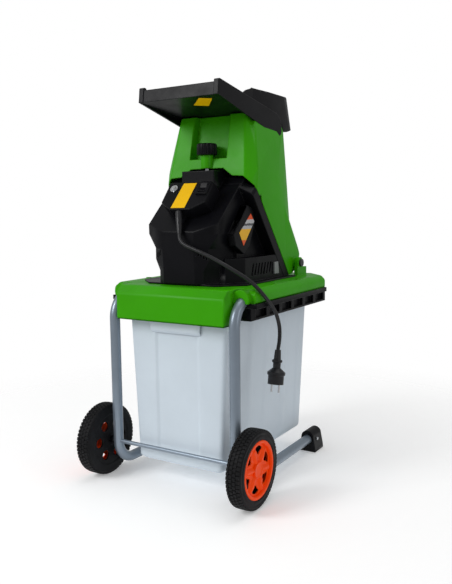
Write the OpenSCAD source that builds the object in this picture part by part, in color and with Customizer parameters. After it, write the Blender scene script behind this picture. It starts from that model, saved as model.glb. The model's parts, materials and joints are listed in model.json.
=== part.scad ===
// Electric garden shredder (wood chipper) on a two-wheeled tube frame, with a
// sliding collection bin under it and a hopper that tilts open for cleaning.
// Millimetres. +Z up, +Y is the side the bin slides out to and the hopper tilts to.
// The origin is on the ground under the middle of the machine.

/* [Frame and wheels] */
// Outside diameter of the frame tube
tube_d = 25; // [22:0.5:26]
// Wall thickness of the frame tube
tube_wall = 1.5; // [1:0.1:2.5]
// Distance from the middle plane to each side frame
frame_x = 171; // [169:0.5:173]
// Place of the upright tubes and the axle, front to back
axle_y = -195; // [-197:0.5:-194]
// Height of the lower frame rail
rail_z = 35; // [33:0.5:38]
// Radius of the wheels, which is also the height of the axle
wheel_r = 90; // [80:0.5:90]
// Width of the wheels
wheel_w = 38; // [36:0.5:40]
// Diameter of the axle rod
axle_d = 10; // [8:0.5:12]

/* [Base and bin] */
// Height of the top face of the base
base_z = 486; // [484:0.5:488]
// Half width of the base
base_x = 203; // [201:0.5:204]
// Edge of the base that the bin slides out under
base_y = 281; // [279:0.5:283]
// Wall thickness of the moulded covers
wall = 3; // [2.5:0.1:3.5]
// Half width of the bin under its rim
bin_x = 140.5; // [138:0.5:140.5]
// Height of the underside of the bin
bin_z = 49; // [46:0.5:54]

/* [Motor and cutter] */
// Slope of the joint between motor housing and hopper, from the horizontal
joint_a = 52; // [51:0.5:53]
// Radius of the knife disc
disc_r = 88; // [87.5:0.1:88.5]
// Diameter of the motor shaft
shaft_d = 12; // [10:0.5:12]
// Slope of the control panel, from the horizontal
panel_a = 50; // [48:0.5:52]

/* [Hopper] */
// Height of the top edge of the hopper collar
hopper_z = 957; // [950:0.5:960]
// Height of the hinge axis that the hopper tilts on
hinge_z = 520; // [519:0.5:521]
// Place of the hinge axis, front to back
hinge_y = 194; // [193:0.5:195]

/* [Mains cord] */
// Diameter of the mains cord
cord_d = 9; // [8:0.5:9.5]

/* [Hidden] */
$fn = 64;

// Colours
green = [0.2, 0.62, 0.05];
black = [0.1, 0.1, 0.11];
steel = [0.62, 0.66, 0.7];
orange = [1, 0.3, 0.05];
amber = [0.98, 0.72, 0.05];
milky = [0.78, 0.83, 0.87];
copper = [0.72, 0.42, 0.2];

// Frame: corner radii of the bends and the height of the rail under the base
tube_r = tube_d / 2;
low_bend = 55;
top_bend = 62;
top_z = base_z - 24;
tube_end_y = -20;
ear_x = 142.5;
foot_y = 190;
foot_len = 53;
wheel_in = frame_x + tube_r + 11;
wheel_out = wheel_in + wheel_w;

// Base: ends of the slab, of the apron and of the skirt rails
slab_y = -154;
apron_y = -210.5;
apron_x = 152;
apron_z = 404;
green_z = 453;
skirt_top = 442;
skirt_z = 412;
skirt_x = 188;
rail_top = 433.7;
rim_x = 147;
rail_in = 142.5;

// Middle of the knife disc, and the two ends of the joint plane along its slope
disc_y = 52;
disc_z = 625;
rim_up = -113;
rim_low = 169;
rim_x2 = 131;
chamber_r = 96;

// Bin: half width at its foot, and its two end faces under the rim
bin_foot_x = 122;
bin_back = -177;
bin_front = 251;

// Control panel: middle of its face
panel_y = -128;
panel_z = 697;

// Locking knob: place of its axis
knob_y = -32;

// Route of the mains cord, from the strain relief to the plug
cord_route = [[13, -174, 607], [18, -179, 596], [27, -181, 587], [40, -181, 580], [56, -180, 574],
    [75, -179, 567], [96, -176, 558], [117, -173, 548], [138, -170, 537], [159, -164, 524],
    [178, -156, 511], [196, -146, 494], [208, -133, 475], [214, -107, 449], [216, -83, 424],
    [217, -68, 392], [217, -67, 363], [216, -73, 337]];
plug_tilt = 9.6;
relief_len = 52;

// ---------- helpers ----------

// Corner points of a box outline with rounded corners
function round_box(x0, x1, y0, y1, r, n = 5) = [
    for (c = [[x1 - r, y1 - r, 0], [x0 + r, y1 - r, 90], [x0 + r, y0 + r, 180], [x1 - r, y0 + r, 270]])
        for (i = [0:n])
            [c[0] + r * cos(c[2] + 90 * i / n), c[1] + r * sin(c[2] + 90 * i / n)]
];

// Moves each point of an outline towards a centre by t, along each axis
function inset(pts, c, t) = [
    for (p = pts)
        [for (i = [0:len(p) - 1]) p[i] + (p[i] > c[i] ? -t : t)]
];

// Outline made whole from its +X half, listed from one end of the axis to the other
function both_sides(half) = concat(half, [for (i = [len(half) - 1:-1:0]) [-half[i][0], half[i][1]]]);

// Skin through outlines that all have the same number of points: [[z, outline], ...]
module loft(sections) {
    n = len(sections[0][1]);
    m = len(sections);
    pts = [for (s = sections) for (p = s[1]) [p[0], p[1], s[0]]];
    sides = [for (k = [0:m - 2]) for (i = [0:n - 1]) for (t = [0, 1])
        t == 0
            ? [k * n + i, (k + 1) * n + i, k * n + (i + 1) % n]
            : [k * n + (i + 1) % n, (k + 1) * n + i, (k + 1) * n + (i + 1) % n]];
    bottom = [for (i = [0:n - 1]) i];
    top = [for (i = [n - 1:-1:0]) (m - 1) * n + i];
    polyhedron(points = pts, faces = concat(sides, [bottom, top]));
}

// Extrudes a front-to-back outline, given as [y, z] points, across the machine
module across(pts, half) {
    rotate([90, 0, 90])
        translate([0, 0, -half])
            linear_extrude(2 * half)
                polygon(pts);
}

// Convex body with the given corners
module body_of(pts) {
    hull()
        polyhedron(points = pts, faces = [for (i = [0:len(pts) - 3]) [i, i + 1, i + 2]]);
}

// Puts children in the frame of the knife disc: z is its axis, y runs down the joint plane
module tilted() {
    translate([0, disc_y, disc_z])
        rotate([-joint_a, 0, 0])
            children();
}

// Puts children in the frame of the control panel: z is its outward normal, y runs up its slope
module on_panel() {
    translate([0, panel_y, panel_z])
        rotate([panel_a, 0, 0])
            children();
}

// Cylinder along X from x0 to x1
module rod_x(r, x0, x1) {
    translate([x0, 0, 0])
        rotate([0, 90, 0])
            cylinder(r = r, h = x1 - x0);
}

// Cylinder along Y from y0 to y1
module rod_y(r, y0, y1) {
    translate([0, y0, 0])
        rotate([-90, 0, 0])
            cylinder(r = r, h = y1 - y0);
}

// Screw with a plain shank along -Z and a round head on top of z = 0
module screw(r, length, head_r, head_h) {
    translate([0, 0, -length])
        cylinder(r = r, h = length);
    cylinder(r = head_r, h = head_h);
}

// Outline of the slab of the base, grown by g
function slab_outline(g) = both_sides([
    [base_x + g, slab_y - g],
    [base_x + g, base_y - 50 + g / 2],
    [base_x - 50 + g / 2, base_y + g]
]);

// ---------- frame ----------

// Quarter bend about the point y, z, from the angle given, as a solid of radius r
module bend(y, z, bend_r, from, r) {
    translate([0, y, z])
        rotate([90, 0, 90])
            rotate([0, 0, from])
                rotate_extrude(angle = 90)
                    translate([bend_r, 0])
                        circle(r);
}

// Bent tube of one side frame in its own plane, as a solid of radius r
module tube_path(r, end_gap = 0) {
    y_low = axle_y + low_bend;
    y_top = axle_y + top_bend;
    translate([0, 0, rail_z])
        rod_y(r, y_low, foot_y + 36 + end_gap);
    translate([0, 0, top_z])
        rod_y(r, y_top, tube_end_y + end_gap);
    translate([0, axle_y, rail_z + low_bend])
        cylinder(r = r, h = top_z - top_bend - rail_z - low_bend);
    bend(y_low, rail_z + low_bend, low_bend, 180, r);
    bend(y_top, top_z - top_bend, top_bend, 90, r);
}

bolt_ys = [-95, -45];

module frame_tube(side) {
    color(steel)
        translate([side * frame_x, 0, 0])
            difference() {
                tube_path(tube_r);
                tube_path(tube_r - tube_wall, 1);
                translate([0, axle_y, wheel_r])
                    rod_x(axle_d / 2 + 0.05, -tube_r - 1, tube_r + 1);
                for (y = bolt_ys)
                    translate([0, y, top_z - tube_r - 1])
                        cylinder(r = 3.1, h = tube_d + 2);
                translate([0, foot_y + 20, rail_z])
                    rod_x(2.1, -tube_r - 1, tube_r + 1);
            }
}

module frame_tube_left() {
    frame_tube(-1);
}

module frame_tube_right() {
    frame_tube(1);
}

module axle_rod() {
    color(steel)
        translate([0, axle_y, wheel_r])
            rod_x(axle_d / 2, -wheel_in - 25, wheel_in + 25);
}

// Bush between tube and wheel, and push-on ring outside the hub, on both ends of the rod
module axle_spacers() {
    color([0.3, 0.3, 0.32])
        for (side = [0, 180])
            translate([0, axle_y, wheel_r])
                rotate([0, 0, side])
                    difference() {
                        union() {
                            rod_x(9, frame_x + tube_r + 0.5, wheel_in - 0.6);
                            rod_x(9, wheel_in + 20, wheel_in + 22);
                        }
                        rod_x(axle_d / 2, frame_x, wheel_out);
                    }
}

module foot(side) {
    color(black)
        translate([side * frame_x, 0, 0])
            difference() {
                hull() {
                    translate([-24, foot_y + 1, 0])
                        cube([48, foot_len, 7]);
                    translate([0, 0, rail_z + 6])
                        rod_y(18, foot_y, foot_y + foot_len, $fn = 32);
                }
                translate([0, 0, rail_z])
                    rod_y(tube_r, foot_y - 1, foot_y + 36);
                translate([0, foot_y + 20, rail_z])
                    rotate([0, 0, side > 0 ? 0 : 180]) {
                        rod_x(2, 0, 30);
                        rod_x(4.2, 19.5, 30);
                    }
            }
}

module foot_left() {
    foot(-1);
}

module foot_right() {
    foot(1);
}

module foot_screws() {
    color(steel)
        for (side = [0, 180])
            translate([side == 0 ? frame_x : -frame_x, foot_y + 20, rail_z])
                rotate([0, 0, side])
                    union() {
                        rod_x(2, 4, 22);
                        rod_x(4, 19.5, 22.5);
                    }
}

// Bolts that hold the base to the two side frames, from below
module frame_bolts() {
    color(steel)
        for (x = [-frame_x, frame_x])
            for (y = bolt_ys)
                translate([x, y, skirt_z])
                    mirror([0, 0, 1])
                        screw(3, 66, 6, 4);
}

// ---------- wheels ----------

// Wheel about the X axis with its inner face at x = 0
module wheel(side) {
    color(black)
        translate([side * wheel_in, axle_y, wheel_r])
            rotate([0, side * 90, 0])
                difference() {
                    union() {
                        rotate_extrude($fn = 96)
                            polygon([[66, 0], [84, 0], [wheel_r - 2, 3], [wheel_r, 8], [wheel_r, wheel_w - 8],
                                [wheel_r - 2, wheel_w - 3], [84, wheel_w], [66, wheel_w]]);
                        cylinder(r = 67, h = 6);
                        cylinder(r = 14, h = 19.6);
                    }
                    translate([0, 0, -1])
                        cylinder(r = axle_d / 2 + 0.06, h = 40);
                    for (i = [0:5])
                        rotate([0, 0, 60 * i + 30])
                            translate([42, 0, -1])
                                cylinder(r = 13, h = 8);
                }
}

// Hub cap with a rim ring, six spokes and a closed middle
module hub_cap(side) {
    color(orange)
        translate([side * wheel_in, axle_y, wheel_r])
            rotate([0, side * 90, 0])
                union() {
                    rotate_extrude()
                        polygon([[57, wheel_w - 20], [66, wheel_w - 20], [66, wheel_w], [57, wheel_w]]);
                    rotate_extrude()
                        polygon([[0, 27], [7, 27], [7, 23.5], [18, 23.5], [18, wheel_w - 1], [0, wheel_w - 1]]);
                    for (i = [0:5])
                        rotate([0, 0, 60 * i + 20])
                            translate([16, -9, 25])
                                cube([44, 18, 5]);
                }
}

module wheel_left() {
    wheel(-1);
}

module wheel_right() {
    wheel(1);
}

module hub_cap_left() {
    hub_cap(-1);
}

module hub_cap_right() {
    hub_cap(1);
}

// ---------- base ----------

cover_screw_ys = [-36, 96];
apron_profile = [[apron_y, apron_z], [apron_y, 466], [apron_y + 20, base_z], [-140, base_z],
    [-140, green_z], [-152, green_z], [-152, apron_z]];

// Outer solid of the base cover; t insets it by the wall thickness
module base_form(t) {
    z0 = t > 0 ? green_z - 10 : green_z;
    loft([
        [z0, slab_outline(-t)],
        [base_z - 12 - t / 2, slab_outline(-t)],
        [base_z - t, slab_outline(-t - 10)]
    ]);
    if (t > 0)
        across([[apron_y + t, apron_z - 1], [apron_y + t, 465], [apron_y + 20 + t, base_z - t],
            [-130, base_z - t], [-130, apron_z - 1]], apron_x - t);
    else
        across(apron_profile, apron_x);
}

module base_cover() {
    color(green)
        difference() {
            union() {
                difference() {
                    base_form(0);
                    base_form(wall);
                }
                // Round shoulders where the frame tubes run in
                for (x = [-frame_x, frame_x])
                    difference() {
                        translate([x, 0, top_z + 2])
                            rod_y(21, slab_y - 14, slab_y + 8);
                        translate([x - 30, slab_y - 20, top_z - 30])
                            cube([60, 40, green_z + 0.3 - top_z + 30]);
                    }
                // Bosses over the frame bolts
                for (x = [-frame_x, frame_x])
                    for (y = bolt_ys)
                        translate([x, y, top_z + tube_r + 0.5])
                            cylinder(r = 8, h = base_z - wall - top_z - tube_r);
                // Small bosses over the cover screws
                for (x = [-187, 187])
                    for (y = cover_screw_ys)
                        translate([x, y, green_z])
                            cylinder(r = 7, h = base_z + 1.5 - green_z);
                // Hinge ears, outside the hopper
                for (x = [-ear_x, ear_x])
                    translate([x, hinge_y, 0]) {
                        translate([-5, -18, base_z - 1])
                            cube([10, 56, 23]);
                        translate([-5, -15, base_z - 1])
                            cube([10, 30, hinge_z - base_z + 1]);
                        translate([0, 0, hinge_z])
                            rod_x(15, -5, 5);
                    }
            }
            // Discharge opening
            translate([-64.3, 75.7, base_z - 20])
                cube([128.6, 58.6, 30]);
            // Where the frame tubes run in
            for (x = [-frame_x, frame_x])
                translate([x, 0, 0])
                    tube_path(tube_r + 0.4);
            for (x = [-frame_x, frame_x])
                for (y = bolt_ys)
                    translate([x, y, top_z])
                        cylinder(r = 3, h = 17);
            for (x = [-187, 187])
                for (y = cover_screw_ys)
                    translate([x, y, green_z - 1])
                        cylinder(r = 2, h = 28);
            for (x = [-ear_x, ear_x])
                translate([x, hinge_y, hinge_z])
                    rod_x(6, -6, 6);
            // Holes for the screws of the motor housing
            for (p = housing_bolts)
                translate([p[0], p[1], base_z - 20])
                    cylinder(r = 2.5, h = 40);
        }
}

// Skirt under the cover with the two rails that carry the rim of the bin
module base_skirt() {
    color(black)
        difference() {
            union() {
                // Ledge all round
                difference() {
                    loft([[skirt_top, slab_outline(4)], [green_z, slab_outline(4)]]);
                    translate([-apron_x - 3, slab_y - 10, skirt_top - 1])
                        cube([2 * apron_x + 6, base_y - 20 - slab_y, 20]);
                }
                for (s = [0, 1])
                    mirror([s, 0, 0]) {
                        // Side rail
                        translate([rail_in, slab_y + 4, skirt_z])
                            cube([skirt_x - rail_in, 264 - slab_y, skirt_top - skirt_z]);
                    }
            }
            // Room for the rim of the bin over the rails
            translate([-rim_x - 2, slab_y - 20, rail_top])
                cube([2 * rim_x + 4, base_y - slab_y - 9 + 20, skirt_top - rail_top + 0.5]);
            // Recesses along the outside of the rails
            for (s = [0, 1])
                mirror([s, 0, 0])
                    for (i = [0:5])
                        translate([skirt_x - 9, -128 + 66 * i, skirt_z + 5])
                            cube([10, 52, skirt_top - skirt_z - 5]);
            // Hollow between the recesses and the bin
            for (s = [0, 1])
                mirror([s, 0, 0])
                    for (i = [2:5])
                        translate([155, -128 + 66 * i, skirt_z - 1])
                            cube([skirt_x - 9 - 155 - 3, 52, 26]);
            for (x = [-frame_x, frame_x])
                translate([x, 0, 0])
                    tube_path(tube_r + 0.4);
            for (x = [-frame_x, frame_x])
                for (y = bolt_ys)
                    translate([x, y, skirt_z - 1])
                        cylinder(r = 3.1, h = 60);
            for (x = [-187, 187])
                for (y = cover_screw_ys)
                    translate([x, y, skirt_top - 1])
                        cylinder(r = 2, h = 20);
        }
}

// Screws that hold skirt and cover together, from below
module base_screws() {
    color(steel)
        for (x = [-187, 187])
            for (y = cover_screw_ys)
                translate([x, y, skirt_top])
                    mirror([0, 0, 1])
                        screw(2, 36, 4, 3);
}

// ---------- bin ----------

function bin_outline(t, half, y0, y1, r) = round_box(-half + t, half - t, y0 + t, y1 - t, r - t * 0.5);

module collection_bin() {
    color(milky)
        difference() {
            union() {
                loft([
                    [bin_z, bin_outline(10, bin_foot_x, -176, 246, 14)],
                    [bin_z + 3, bin_outline(3, bin_foot_x, -176, 246, 12)],
                    [bin_z + 10, bin_outline(0, bin_foot_x, -176, 246, 12)],
                    [440, bin_outline(0, bin_x, bin_back, bin_front, 12)]
                ]);
                // Rim that hangs on the rails
                loft([
                    [434, round_box(-rim_x, rim_x, -185, 258, 18)],
                    [438, round_box(-rim_x, rim_x, -185, 258, 18)]
                ]);
                // Grip under the rim at both ends
                across([[bin_back + 4, 434], [-188, 434], [-188, 384], [-184, 374], [bin_back + 4, 374]], 76);
                across([[bin_front - 4, 434], [261, 434], [261, 384], [257, 374], [bin_front - 4, 374]], 76);
            }
            loft([
                [bin_z + 3, bin_outline(8, bin_foot_x, -176, 246, 14)],
                [bin_z + 10, bin_outline(2.5, bin_foot_x, -176, 246, 12)],
                [441, bin_outline(2.5, bin_x, bin_back, bin_front, 12)]
            ]);
            // Finger space behind each grip
            across([[bin_back - 3.5, 366], [bin_back - 3.5, 430], [-185.5, 430], [-185.5, 366]], 73);
            across([[bin_front + 3, 366], [bin_front + 3, 430], [258.5, 430], [258.5, 366]], 73);
        }
}

// ---------- motor housing ----------

// Half width of the housing behind its rim
core_x = 100;
housing_bolts = [[-112, -62], [112, -62], [-112, 100], [112, 100]];

// Side view of the housing next to the joint plane
core_side = [[-62, base_z + 4], [-62, 704], [-33, 728], [-12, 700], [142, 500], [142, base_z + 4]];

// Plans of the nose: over its overhang, under it, and at its foot
nose_plan = both_sides([[44, -163], [99, -143.5], [core_x, -112], [core_x, 0]]);
nose_plan_low = both_sides([[44, -163], [76, -148], [90, -112], [core_x, 0]]);
nose_plan_foot = both_sides([[44, -162], [62, -151], [82, -112], [core_x, 0]]);
// Plan of the low side box with the cooling slots
box_plan = [[60, -112], [99, -112], [130, -74], [130, 152], [99, 156], [60, 156]];
plate_plan = both_sides([[95, -153.5], [150, -100], [150, 160], [120, 176]]);

// Everything on the hopper's side of the joint plane, g above it
module over_joint(g) {
    tilted()
        translate([-200, -400, g])
            cube([400, 800, 500]);
}

// Ring-shaped plate under the joint plane
module rim_plate() {
    tilted()
        translate([0, 0, -24])
            linear_extrude(23.8)
                polygon(both_sides([[100, rim_up - 20], [127, rim_up - 2], [rim_x2, rim_up + 6], [rim_x2, rim_low],
                    [118, rim_low + 4]]));
}

// Nose of the housing; t insets it by the wall thickness
module nose_form(t) {
    c = [0, -60];
    intersection() {
        across([[-163 + t, base_z + 4 + t], [-163 + t, 613 - t], [-22 - t, 741 - t * 1.4], [0, 741 - t * 1.4],
            [0, base_z + 4 + t]], core_x);
        loft([
            [base_z + 4, inset(nose_plan_foot, c, t)],
            [520, inset(nose_plan_foot, c, t)],
            [546, inset(nose_plan_low, c, t)],
            [572, inset(nose_plan_low, c, t)],
            [606, inset(nose_plan, c, t)],
            [760, inset(nose_plan, c, t)]
        ]);
    }
}

// Solid outer form of the housing, before it is hollowed
module housing_form() {
    nose_form(0);
    difference() {
        across(core_side, core_x);
        over_joint(-20);
    }
    difference() {
        translate([0, 0, base_z + 4])
            linear_extrude(58)
                polygon(box_plan);
        over_joint(-20);
    }
    rim_plate();
    // Foot plate on the base
    translate([0, 0, base_z])
        linear_extrude(4.2)
            polygon(plate_plan);
    // Shoulder that fills the arch of the hopper's lower edge
    across([[-40, 700], [-40, 725], [-22, 741], [-6, 741], [-6, 700]], 104);
    // Block under the locking knob
    across([[-75, 690], [-75, 757], [-8, 757], [-8, 700]], 46.5);
}

module motor_housing() {
    color(black)
        difference() {
            housing_form();
            // Hollows
            nose_form(wall);
            difference() {
                across([[-58, base_z + 7], [-58, 700], [-36, 719], [138, 496], [138, base_z + 7]], core_x - 3);
                over_joint(-24);
            }
            difference() {
                translate([0, 0, base_z + 7])
                    linear_extrude(52)
                        polygon([[60, -108], [96, -108], [127, -70], [127, 148], [60, 148]]);
                over_joint(-24);
            }
            // Seat of the cutting chamber
            tilted()
                translate([0, 0, -46])
                    cylinder(r = chamber_r, h = 56, $fn = 96);
            // Nothing under the top face of the base
            translate([-200, -300, base_z - 40])
                cube([400, 600, 40]);
            // Pocket of the safety switch
            translate([-12, -60, 690])
                cube([24, 18, 30]);
            // Passage of the chips
            translate([-64.3, 75.7, base_z - 1])
                cube([128.6, 58.6, 60]);
            // Room over the joint plane for the hopper
            difference() {
                over_joint(0);
                across([[-130, 640], [-130, 800], [-6, 800], [-6, 640]], 104);
            }
            // Slot that the screw of the locking knob stands in
            translate([-7, knob_y - 7, 748])
                cube([14, 60, 20]);
            // Cooling slots
            for (s = [0, 1])
                mirror([s, 0, 0]) {
                    for (i = [0:6])
                        translate([118, -44 + 15 * i, 505])
                            rotate([-18, 0, 0])
                                cube([20, 6, 30]);
                    for (i = [0:3])
                        translate([52 + 6 * i, -175 + 3 * i, 556 - 3 * i])
                            cube([3, 40, 14]);
                }
            for (p = housing_bolts)
                translate([p[0], p[1], base_z - 1])
                    cylinder(r = 2.6, h = 10);
            // Holes for switch, breaker and cord
            on_panel()
                translate([0, 0, -60])
                    cylinder(r = 16, h = 30);
        }
}

module housing_screws() {
    color(steel)
        for (p = housing_bolts)
            translate([p[0], p[1], base_z + 7])
                screw(2.5, 20, 5, 3);
}

panel_outline = both_sides([[28, -42], [62, -20], [62, 42]]);

module control_panel() {
    color(black)
        difference() {
            on_panel()
                translate([0, 0, -46])
                    linear_extrude(46)
                        polygon(panel_outline);
            on_panel()
                translate([0, 0, -48])
                    linear_extrude(45)
                        polygon(inset(panel_outline, [0, 0], wall));
            across([[-170, 500], [-170, 606.7], [-22, 741], [60, 741], [60, 500]], 99);
            // Clear of the block under the knob
            across([[-75, 640], [-75, 770], [0, 770], [0, 640]], 70);
            on_panel() {
                translate([44, 20, -10])
                    cube([25, 31, 40], center = true);
                translate([-40, 20, -10])
                    cylinder(r = 8, h = 20);
            }
            relief_frame()
                translate([0, 0, -8])
                    cylinder(r = 8.6, h = 20);
        }
}

module panel_label() {
    color(amber)
        on_panel()
            linear_extrude(0.6)
                polygon([[-26, -38], [13, -38], [17, 38], [-20, 38]]);
}

// Rocker switch: frame and body; the rocker moves on its own
module switch_body() {
    color(black)
        on_panel()
            translate([44, 20, 0])
                difference() {
                    union() {
                        translate([-15.5, -18.5, 0])
                            cube([31, 37, 5]);
                        translate([-12.5, -15.5, -20])
                            cube([25, 31, 20]);
                    }
                    difference() {
                        translate([-9.5, -13.4, -12])
                            cube([19, 26.8, 20]);
                        // Pin that the rocker tilts on
                        rod_x(1.34, -10, 10);
                    }
                }
}

module switch_rocker() {
    color([0.16, 0.16, 0.17])
        on_panel()
            translate([44, 20, 0])
                difference() {
                    across([[-11.5, -2], [-11.5, 6], [0, 3.5], [11.5, 8], [11.5, -2], [4, -8], [-4, -8]], 9);
                    rod_x(1.4, -10, 10);
                }
}

// Thermal breaker with a metal collar; its button moves on its own
module overload_breaker() {
    color(steel)
        on_panel()
            translate([-40, 20, 0])
                difference() {
                    union() {
                        cylinder(r = 10, h = 4);
                        translate([0, 0, -16])
                            cylinder(r = 8, h = 16);
                    }
                    translate([0, 0, -9])
                        cylinder(r = 5.5, h = 20);
                }
}

module reset_button() {
    color([0.75, 0.77, 0.8])
        on_panel()
            translate([-40, 20, -4])
                cylinder(r = 5.4, h = 12);
}

// Octagonal cover on each side of the housing
side_outline = [[-104, 604], [-38, 674], [-14, 665], [-2, 632], [-30, 576], [-58, 557], [-96, 578]];

module side_panel(s) {
    mirror([s, 0, 0])
        difference() {
            translate([core_x, 0, 0])
                rotate([90, 0, 90])
                    linear_extrude(18)
                        polygon(side_outline);
            translate([core_x - 1, 0, 0])
                rotate([90, 0, 90])
                    linear_extrude(16)
                        polygon(inset(side_outline, [-52, 614], 3));
        }
}

module side_panel_left() {
    color(black)
        side_panel(1);
}

module side_panel_right() {
    color(black)
        side_panel(0);
}

module side_label() {
    color(amber)
        translate([core_x + 18, 0, 0])
            rotate([90, 0, 90])
                linear_extrude(0.6)
                    polygon([[-79.5, 608], [-24.5, 653], [-7.5, 634], [-59.5, 577]]);
}

module latch_catches() {
    color([0.5, 0.52, 0.55])
        for (s = [0, 1])
            mirror([s, 0, 0])
                translate([s == 0 ? 130 : core_x, 0, 0])
                    rotate([90, 0, 90])
                        linear_extrude(4)
                            polygon([[70, 500], [94, 500], [90, 530], [70, 530]]);
}

// Tub that the knife disc turns in, with the shaft down to the base
module cutting_chamber() {
    color([0.35, 0.36, 0.38])
        difference() {
            union() {
                tilted()
                    translate([0, 0, -44])
                        cylinder(r = chamber_r, h = 44, $fn = 96);
                translate([-64, 76, base_z - 6])
                    cube([128, 58, 62]);
                tilted()
                    translate([0, 0, -60])
                        cylinder(r = 24, h = 17);
            }
            tilted() {
                translate([0, 0, -40])
                    cylinder(r = chamber_r - 4, h = 60, $fn = 96);
                translate([0, 0, -62])
                    cylinder(r = 9, h = 30);
                translate([0, 0, -54])
                    cylinder(r = 16, h = 30);
                // Nothing over the joint plane
                translate([-150, -200, 0])
                    cube([300, 400, 100]);
            }
            translate([-60, 80, base_z - 8])
                cube([120, 50, 80]);
        }
}

// ---------- motor, all along the tilted axis ----------

module motor_stator() {
    color([0.45, 0.45, 0.47])
        tilted()
            translate([0, 0, -120])
                difference() {
                    cylinder(r = 46, h = 50);
                    translate([0, 0, -1])
                        cylinder(r = 29.5, h = 52);
                }
}

module field_coils() {
    color(copper)
        tilted()
            for (z = [-132, -70])
                translate([0, 0, z])
                    difference() {
                        cylinder(r = 42, h = 12);
                        translate([0, 0, -1])
                            cylinder(r = 31, h = 14);
                    }
}

module motor_end_bell() {
    color([0.2, 0.2, 0.22])
        tilted()
            difference() {
                union() {
                    translate([0, 0, -160])
                        cylinder(r = 20, h = 14);
                    translate([-51, -12, -150])
                        cube([102, 24, 4]);
                    for (x = [-51, 46])
                        translate([x, -12, -150])
                            cube([5, 24, 106]);
                }
                translate([0, 0, -158])
                    cylinder(r = 14, h = 20);
            }
}

module brush_holders() {
    color([0.75, 0.6, 0.25])
        tilted()
            for (a = [0, 180])
                rotate([0, 0, a + 90])
                    translate([17.3, -5, -146])
                        cube([18, 10, 12]);
}

module bearing(z, r_out, r_in, h) {
    tilted()
        translate([0, 0, z])
            difference() {
                cylinder(r = r_out, h = h);
                translate([0, 0, -1])
                    cylinder(r = r_in, h = h + 2);
            }
}

module bearing_upper() {
    color(steel)
        bearing(-54, 16, shaft_d / 2 + 0.05, 10);
}

module bearing_lower() {
    color(steel)
        bearing(-158, 14, 5.05, 9);
}

module rotor_shaft() {
    color(steel)
        tilted() {
            translate([0, 0, -146])
                cylinder(r = shaft_d / 2, h = 146 - 14);
            translate([0, 0, -157.5])
                cylinder(r = 5, h = 12.5);
        }
}

module armature_core() {
    color([0.5, 0.5, 0.52])
        tilted()
            translate([0, 0, -120])
                difference() {
                    cylinder(r = 28.8, h = 50);
                    translate([0, 0, -1])
                        cylinder(r = shaft_d / 2, h = 52);
                }
}

module commutator() {
    color(copper)
        tilted()
            translate([0, 0, -145])
                difference() {
                    cylinder(r = 17, h = 13);
                    translate([0, 0, -1])
                        cylinder(r = shaft_d / 2, h = 15);
                }
}

module cooling_fan() {
    color([0.85, 0.85, 0.82])
        tilted()
            translate([0, 0, -68])
                difference() {
                    union() {
                        cylinder(r = 10, h = 6);
                        cylinder(r = 29, h = 1.5);
                        for (i = [0:8])
                            rotate([0, 0, 40 * i])
                                translate([8, -1, 0])
                                    cube([20.5, 2, 6]);
                    }
                    translate([0, 0, -1])
                        cylinder(r = shaft_d / 2, h = 12);
                }
}

module blade_disc() {
    color(steel)
        tilted()
            translate([0, 0, -14])
                difference() {
                    union() {
                        cylinder(r = disc_r, h = 6, $fn = 96);
                        translate([0, 0, -8])
                            cylinder(r = 18, h = 8);
                    }
                    translate([0, 0, -10])
                        cylinder(r = 4.2, h = 20);
                    translate([0, 0, -9])
                        cylinder(r = shaft_d / 2 + 0.05, h = 9);
                    // Slots that the chips fall through
                    for (a = [0, 180])
                        rotate([0, 0, a]) {
                            translate([36, 12, -1])
                                cube([46, 12, 8]);
                            for (x = [50, 74])
                                translate([x, 0, -1])
                                    cylinder(r = 2.5, h = 8);
                        }
                }
}

module knife_blades() {
    color([0.8, 0.82, 0.85])
        tilted()
            for (a = [0, 180])
                rotate([0, 0, a])
                    translate([0, 0, -8])
                        difference() {
                            translate([37, -12, 0])
                                cube([50, 24, 4]);
                            for (x = [50, 74])
                                translate([x, 0, -1])
                                    cylinder(r = 2.5, h = 6);
                        }
}

module blade_screws() {
    color([0.4, 0.4, 0.42])
        tilted()
            for (a = [0, 180])
                rotate([0, 0, a])
                    for (x = [50, 74])
                        translate([x, 0, -4])
                            screw(2.5, 10, 4.5, 2);
}

module disc_bolt() {
    color([0.4, 0.4, 0.42])
        tilted()
            translate([0, 0, -8])
                difference() {
                    union() {
                        cylinder(r = 9, h = 6, $fn = 6);
                        translate([0, 0, -6])
                            cylinder(r = 4.2, h = 6);
                    }
                    translate([0, 0, 4])
                        cylinder(r = 3, h = 4);
                }
}

module safety_switch() {
    color([0.7, 0.15, 0.1])
        translate([-12, -60, 700])
            cube([24, 18, 20]);
}

// ---------- cord ----------

// Frame of the strain relief: z points along the cord as it leaves the panel box
module relief_frame() {
    translate(cord_route[0])
        rotate([0, 150, -55])
            translate([0, 0, -relief_len])
                children();
}

module strain_relief() {
    color(black)
        relief_frame()
            rotate_extrude()
                polygon([[0, -7], [8.5, -7], [8.5, 12], [5.5, relief_len - 2],
                    [5, relief_len], [0, relief_len]]);
}

// Ring of n points around a point of the route, square to its direction
function ring_at(p, dir, r, n) =
    let (
        d = dir / norm(dir),
        side = cross(d, [0.3, 0.9, 0.3]),
        u = side / norm(side),
        v = cross(d, u)
    )
    [for (i = [0:n - 1]) p + r * (cos(360 * i / n) * u + sin(360 * i / n) * v)];

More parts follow.
